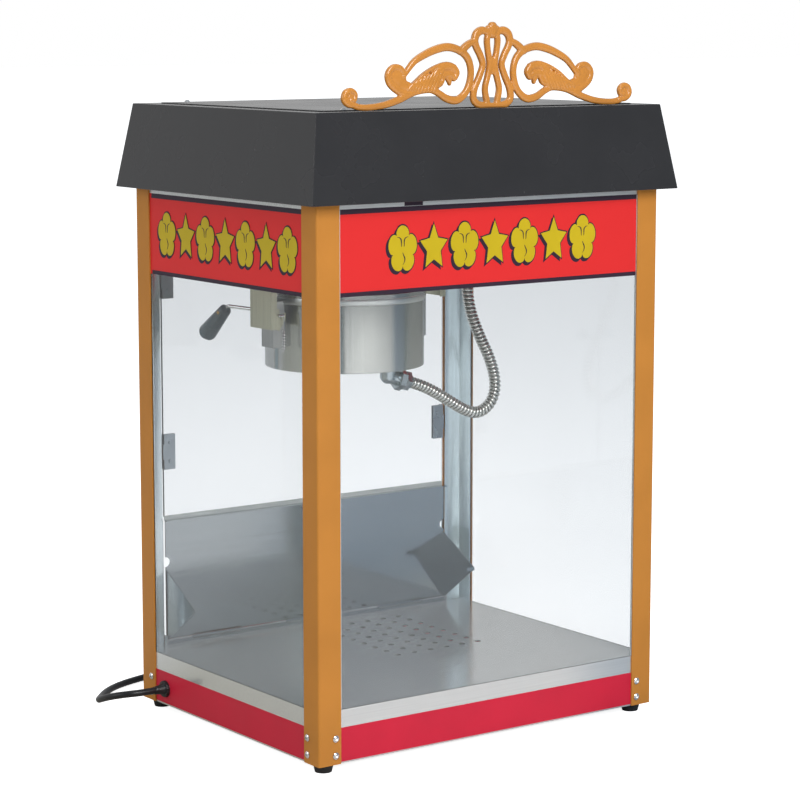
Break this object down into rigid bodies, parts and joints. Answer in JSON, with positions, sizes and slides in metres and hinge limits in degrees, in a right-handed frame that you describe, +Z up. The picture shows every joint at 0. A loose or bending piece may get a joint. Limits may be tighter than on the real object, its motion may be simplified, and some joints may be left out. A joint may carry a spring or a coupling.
{
  "type": "popcorn maker",
  "caption": "Countertop popcorn maker: glass cabinet on four gold corner posts with a tilting steel kettle, rear doors, ramp gate, crumb drawer and a sloped canopy with a scroll crest.",
  "frame": {"origin": "on the floor under the feet, at the middle of the canopy's footprint", "axes": "+X along the wide front, to the right seen from the customer's side; +Y towards the operator's side; +Z up"},
  "size_m": [0.6557, 0.6042, 0.958],
  "materials": {
    "rubber_foot": "moulded rubber",
    "bright_steel": "brushed",
    "red_paint": "satin powder coat",
    "gold_paint": "satin powder coat",
    "black_paint": "gloss powder coat",
    "crest_gold": "painted casting",
    "screw_steel": "polished",
    "cabinet_glass": "clear float glass",
    "sign_print": "printed acrylic",
    "kettle_steel": "fine brushed",
    "switch_black": "gloss",
    "zinc": "zinc plated",
    "motor_case": "cast",
    "bulb_glass": "frosted",
    "heater_iron": "cast",
    "grip_plastic": "moulded phenolic",
    "cord_rubber": "matt"
  },
  "bodies": {
    "root": {"feet": "rubber_foot", "base_floor": "bright_steel", "base_skirt": "red_paint", "base_skirt_rear": "red_paint", "deck_pan": "bright_steel", "drawer_runners": "bright_steel", "post_front_left": "gold_paint", "post_front_right": "gold_paint", "post_rear_left": "gold_paint", "post_rear_right": "gold_paint", "post_screws": "screw_steel", "inner_posts": "bright_steel", "glass_front": "cabinet_glass", "glass_sides": "cabinet_glass", "sign_front": "sign_print", "sign_sides": "sign_print", "rear_header": "bright_steel", "top_frame": "bright_steel", "ceiling_panel": "bright_steel", "canopy_front": "black_paint", "canopy_rear": "black_paint", "canopy_sides": "black_paint", "canopy_lid": "black_paint", "canopy_screws": "screw_steel", "crest": "crest_gold", "control_plate": "bright_steel", "gear_motor": "motor_case", "ceiling_fittings": "zinc", "lamp_bulb": "bulb_glass", "hanger_left": "bright_steel", "hanger_right": "bright_steel", "kettle_catch": "screw_steel", "flex_conduit": "zinc", "door_hinges": "bright_steel", "ramp_hinge": "screw_steel", "cord_gland": "cord_rubber", "power_cord": "cord_rubber", "power_cord_coil": "cord_rubber", "plug": "cord_rubber"},
    "kettle": {"kettle_shell": "kettle_steel", "kettle_pan": "kettle_steel", "heater_plate": "heater_iron", "kettle_bridge": "bright_steel", "kettle_arms": "bright_steel", "dump_handle": "bright_steel", "handle_grip": "grip_plastic", "conduit_elbow": "zinc", "kettle_lid_rear": "kettle_steel"},
    "lid_front": {"kettle_lid_front": "kettle_steel"},
    "stirrer": {"stirrer": "bright_steel"},
    "drive_shaft": {"drive_shaft": "bright_steel"},
    "door_left": {"door_glass_left": "cabinet_glass", "door_fittings_left": "bright_steel"},
    "door_right": {"door_glass_right": "cabinet_glass", "door_fittings_right": "bright_steel"},
    "ramp": {"ramp": "bright_steel"},
    "drawer": {"drawer": "bright_steel"},
    "switch_warmer": {"switch_warmer": "switch_black"},
    "switch_stirrer": {"switch_stirrer": "switch_black"},
    "switch_kettle": {"switch_kettle": "switch_black"}
  },
  "joints": [
    {"name": "kettle_dump", "type": "hinge", "parent": "root", "child": "kettle", "pos_m": [-0.062, 0.033, 0.606], "axis": [1, 0, 0], "range_deg": [0, 90], "deforming": ["flex_conduit"]},
    {"name": "lid_front_lift", "type": "hinge", "parent": "kettle", "child": "lid_front", "pos_m": [-0.062, 0.0195, 0.5996], "axis": [1, 0, 0], "range_deg": [-80, 0]},
    {"name": "drive_spin", "type": "hinge", "parent": "root", "child": "drive_shaft", "pos_m": [-0.062, 0.033, 0.7], "axis": [0, 0, 1], "continuous": true},
    {"name": "stirrer_spin", "type": "hinge", "parent": "kettle", "child": "stirrer", "pos_m": [-0.062, 0.033, 0.598], "axis": [0, 0, 1], "continuous": true},
    {"name": "door_left_swing", "type": "hinge", "parent": "root", "child": "door_left", "pos_m": [-0.244, 0.2258, 0.484], "axis": [0, 0, 1], "range_deg": [0, 110]},
    {"name": "door_right_swing", "type": "hinge", "parent": "root", "child": "door_right", "pos_m": [0.244, 0.2258, 0.484], "axis": [0, 0, 1], "range_deg": [-110, 0]},
    {"name": "ramp_tilt", "type": "hinge", "parent": "root", "child": "ramp", "pos_m": [0, 0.215, 0.0895], "axis": [1, 0, 0], "range_deg": [-45, 0]},
    {"name": "drawer_slide", "type": "slide", "parent": "root", "child": "drawer", "axis": [0, 1, 0], "range_m": [0, 0.2]},
    {"name": "switch_warmer_rock", "type": "hinge", "parent": "root", "child": "switch_warmer", "pos_m": [-0.046, 0.23331, 0.788], "axis": [1, 0, 0], "range_deg": [0, 20]},
    {"name": "switch_stirrer_rock", "type": "hinge", "parent": "root", "child": "switch_stirrer", "pos_m": [0, 0.23331, 0.788], "axis": [1, 0, 0], "range_deg": [0, 20]},
    {"name": "switch_kettle_rock", "type": "hinge", "parent": "root", "child": "switch_kettle", "pos_m": [0.046, 0.23331, 0.788], "axis": [1, 0, 0], "range_deg": [0, 20]}
  ],
  "couplings": [
    {"joint": "stirrer_spin", "follows": "drive_spin", "ratio": 1}
  ]
}
